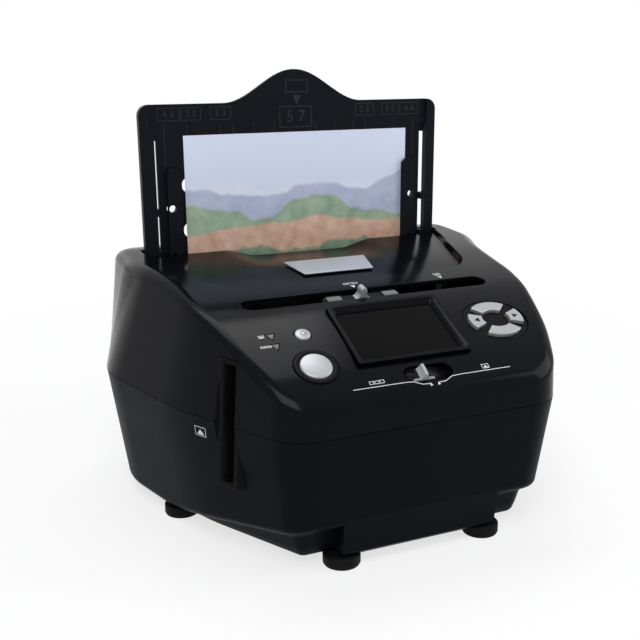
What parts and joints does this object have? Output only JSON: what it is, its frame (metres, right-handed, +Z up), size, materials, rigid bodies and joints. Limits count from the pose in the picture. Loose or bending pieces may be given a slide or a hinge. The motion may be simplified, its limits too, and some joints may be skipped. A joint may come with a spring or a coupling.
{
  "type": "photo and film scanner",
  "caption": "Black desktop scanner with an upright photo tray, film slots through the sides, sliding switches, screen and buttons.",
  "frame": {"origin": "centre of the machine's footprint box, on the plane its feet stand on", "axes": "+Z up, -Y to the front with the screen, +X to the right as seen from the front"},
  "size_m": [0.2384, 0.19, 0.2238],
  "materials": {
    "piano_black": "glossy",
    "satin_black": "satin",
    "tray_grey": "satin",
    "dark_plastic": "matte",
    "silver": "satin silver paint",
    "screen_glass": "glossy",
    "print_paper": "glossy paper",
    "white_plastic": "matte",
    "rubber": "matte",
    "steel": "plain",
    "board_green": "lacquered board",
    "lens_glass": "polished",
    "indicator": "smoked"
  },
  "bodies": {
    "housing": {"base_shell": "satin_black", "upper_cover": "piano_black", "badge_plate": "silver", "lcd_bezel": "piano_black", "lcd_glass": "screen_glass", "lcd_module": "steel", "keypad_plate": "dark_plastic", "scan_ring": "dark_plastic", "indicator_photo": "indicator", "indicator_film": "indicator", "key_board_left": "board_green", "key_board_right": "board_green", "main_board": "board_green", "io_board": "board_green", "dc_jack": "dark_plastic", "usb_socket": "steel", "card_socket": "steel", "foot_front_left": "rubber", "foot_front_right": "rubber", "foot_side_left": "rubber", "foot_side_right": "rubber", "foot_rear_left": "rubber", "foot_rear_right": "rubber", "case_screw_front_left": "steel", "case_screw_front_right": "steel", "case_screw_rear_left": "steel", "case_screw_rear_right": "steel", "film_frame_left": "dark_plastic", "film_frame_right": "dark_plastic", "film_channel": "dark_plastic", "camera_bracket": "dark_plastic", "sensor_board": "board_green", "lens_rail_left": "steel", "lens_rail_right": "steel", "slider_rod": "steel", "rod_pillar_left": "dark_plastic", "rod_pillar_right": "dark_plastic", "tray_channel_left": "dark_plastic", "tray_channel_right": "dark_plastic", "tray_backing": "white_plastic", "photo_lamp_left": "white_plastic", "photo_lamp_right": "white_plastic"},
    "tray": {"photo_tray": "tray_grey", "photo_print": "print_paper"},
    "left_guide": {"print_guide_left": "tray_grey"},
    "right_guide": {"print_guide_right": "tray_grey"},
    "slider": {"mode_slider": "silver", "slider_arm": "dark_plastic", "light_panel": "white_plastic", "light_diffuser": "white_plastic"},
    "switch": {"lens_switch": "silver"},
    "lens": {"lens_carriage": "dark_plastic", "lens_barrel": "dark_plastic", "front_lens": "lens_glass"},
    "scan": {"scan_button": "silver"},
    "power": {"power_button": "silver"},
    "menu": {"menu_key": "silver"},
    "enter": {"enter_key": "silver"},
    "left_button": {"left_key": "silver"},
    "right_button": {"right_key": "silver"}
  },
  "joints": [
    {"name": "tray_slide", "type": "slide", "parent": "housing", "child": "tray", "axis": [0, 0, 1], "range_m": [-0.0615, 0.04]},
    {"name": "left_guide_slide", "type": "slide", "parent": "tray", "child": "left_guide", "axis": [1, 0, 0], "range_m": [-0.0036, 0.03175]},
    {"name": "right_guide_slide", "type": "slide", "parent": "tray", "child": "right_guide", "axis": [-1, 0, 0], "range_m": [-0.0036, 0.03175]},
    {"name": "mode_slide", "type": "slide", "parent": "housing", "child": "slider", "axis": [1, 0, 0], "range_m": [0, 0.05]},
    {"name": "lens_switch_slide", "type": "slide", "parent": "housing", "child": "switch", "axis": [1, 0, 0], "range_m": [0, 0.006]},
    {"name": "lens_focus", "type": "slide", "parent": "housing", "child": "lens", "axis": [0, 1, 0], "range_m": [0, 0.0024]},
    {"name": "scan_press", "type": "slide", "parent": "housing", "child": "scan", "axis": [0, 0.4918, -0.8707], "range_m": [0, 0.0008], "stiffness_N_per_m": 600},
    {"name": "power_press", "type": "slide", "parent": "housing", "child": "power", "axis": [0, 0.4091, -0.9125], "range_m": [0, 0.0008], "stiffness_N_per_m": 600},
    {"name": "menu_press", "type": "slide", "parent": "housing", "child": "menu", "axis": [0, 0.44, -0.898], "range_m": [0, 0.0008], "stiffness_N_per_m": 600},
    {"name": "enter_press", "type": "slide", "parent": "housing", "child": "enter", "axis": [0, 0.44, -0.898], "range_m": [0, 0.0008], "stiffness_N_per_m": 600},
    {"name": "left_press", "type": "slide", "parent": "housing", "child": "left_button", "axis": [0, 0.44, -0.898], "range_m": [0, 0.0008], "stiffness_N_per_m": 600},
    {"name": "right_press", "type": "slide", "parent": "housing", "child": "right_button", "axis": [0, 0.44, -0.898], "range_m": [0, 0.0008], "stiffness_N_per_m": 600}
  ],
  "couplings": [
    {"joint": "lens_focus", "follows": "lens_switch_slide", "ratio": 0.4}
  ]
}
